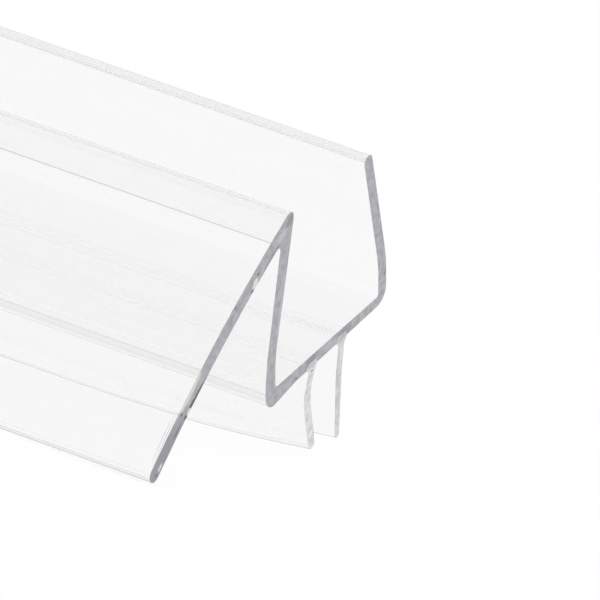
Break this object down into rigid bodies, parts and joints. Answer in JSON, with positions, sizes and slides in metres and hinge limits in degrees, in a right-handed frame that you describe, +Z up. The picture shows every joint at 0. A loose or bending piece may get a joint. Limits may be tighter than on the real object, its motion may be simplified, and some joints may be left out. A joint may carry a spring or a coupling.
{
  "type": "shower door seal strip",
  "caption": "Clear bottom seal strip for a glass shower door: a clip-on channel with an outward drip rail and soft wiper fins underneath, lying as it rests on a level floor.",
  "frame": {"origin": "bottom centre of the strip's bounding box, on the floor it rests on, at mid-length", "axes": "+Z up from the floor; +Y along the strip, away from the end that the picture shows; +X across it, away from the drip rail. The section leans 25.2 degrees, as the loose strip comes to rest."},
  "size_m": [0.0242, 0.61, 0.0189],
  "materials": {
    "clear_rigid": "clear rigid plastic, smooth from the die with faint lines along it, saw-cut ends frosted",
    "clear_soft": "clear soft vinyl, slightly milky and less glossy than the channel"
  },
  "bodies": {
    "root": {"clip_and_drip_rail": "clear_rigid", "front_wiper_fin": "clear_soft", "back_wiper_fin": "clear_soft"}
  },
  "joints": []
}
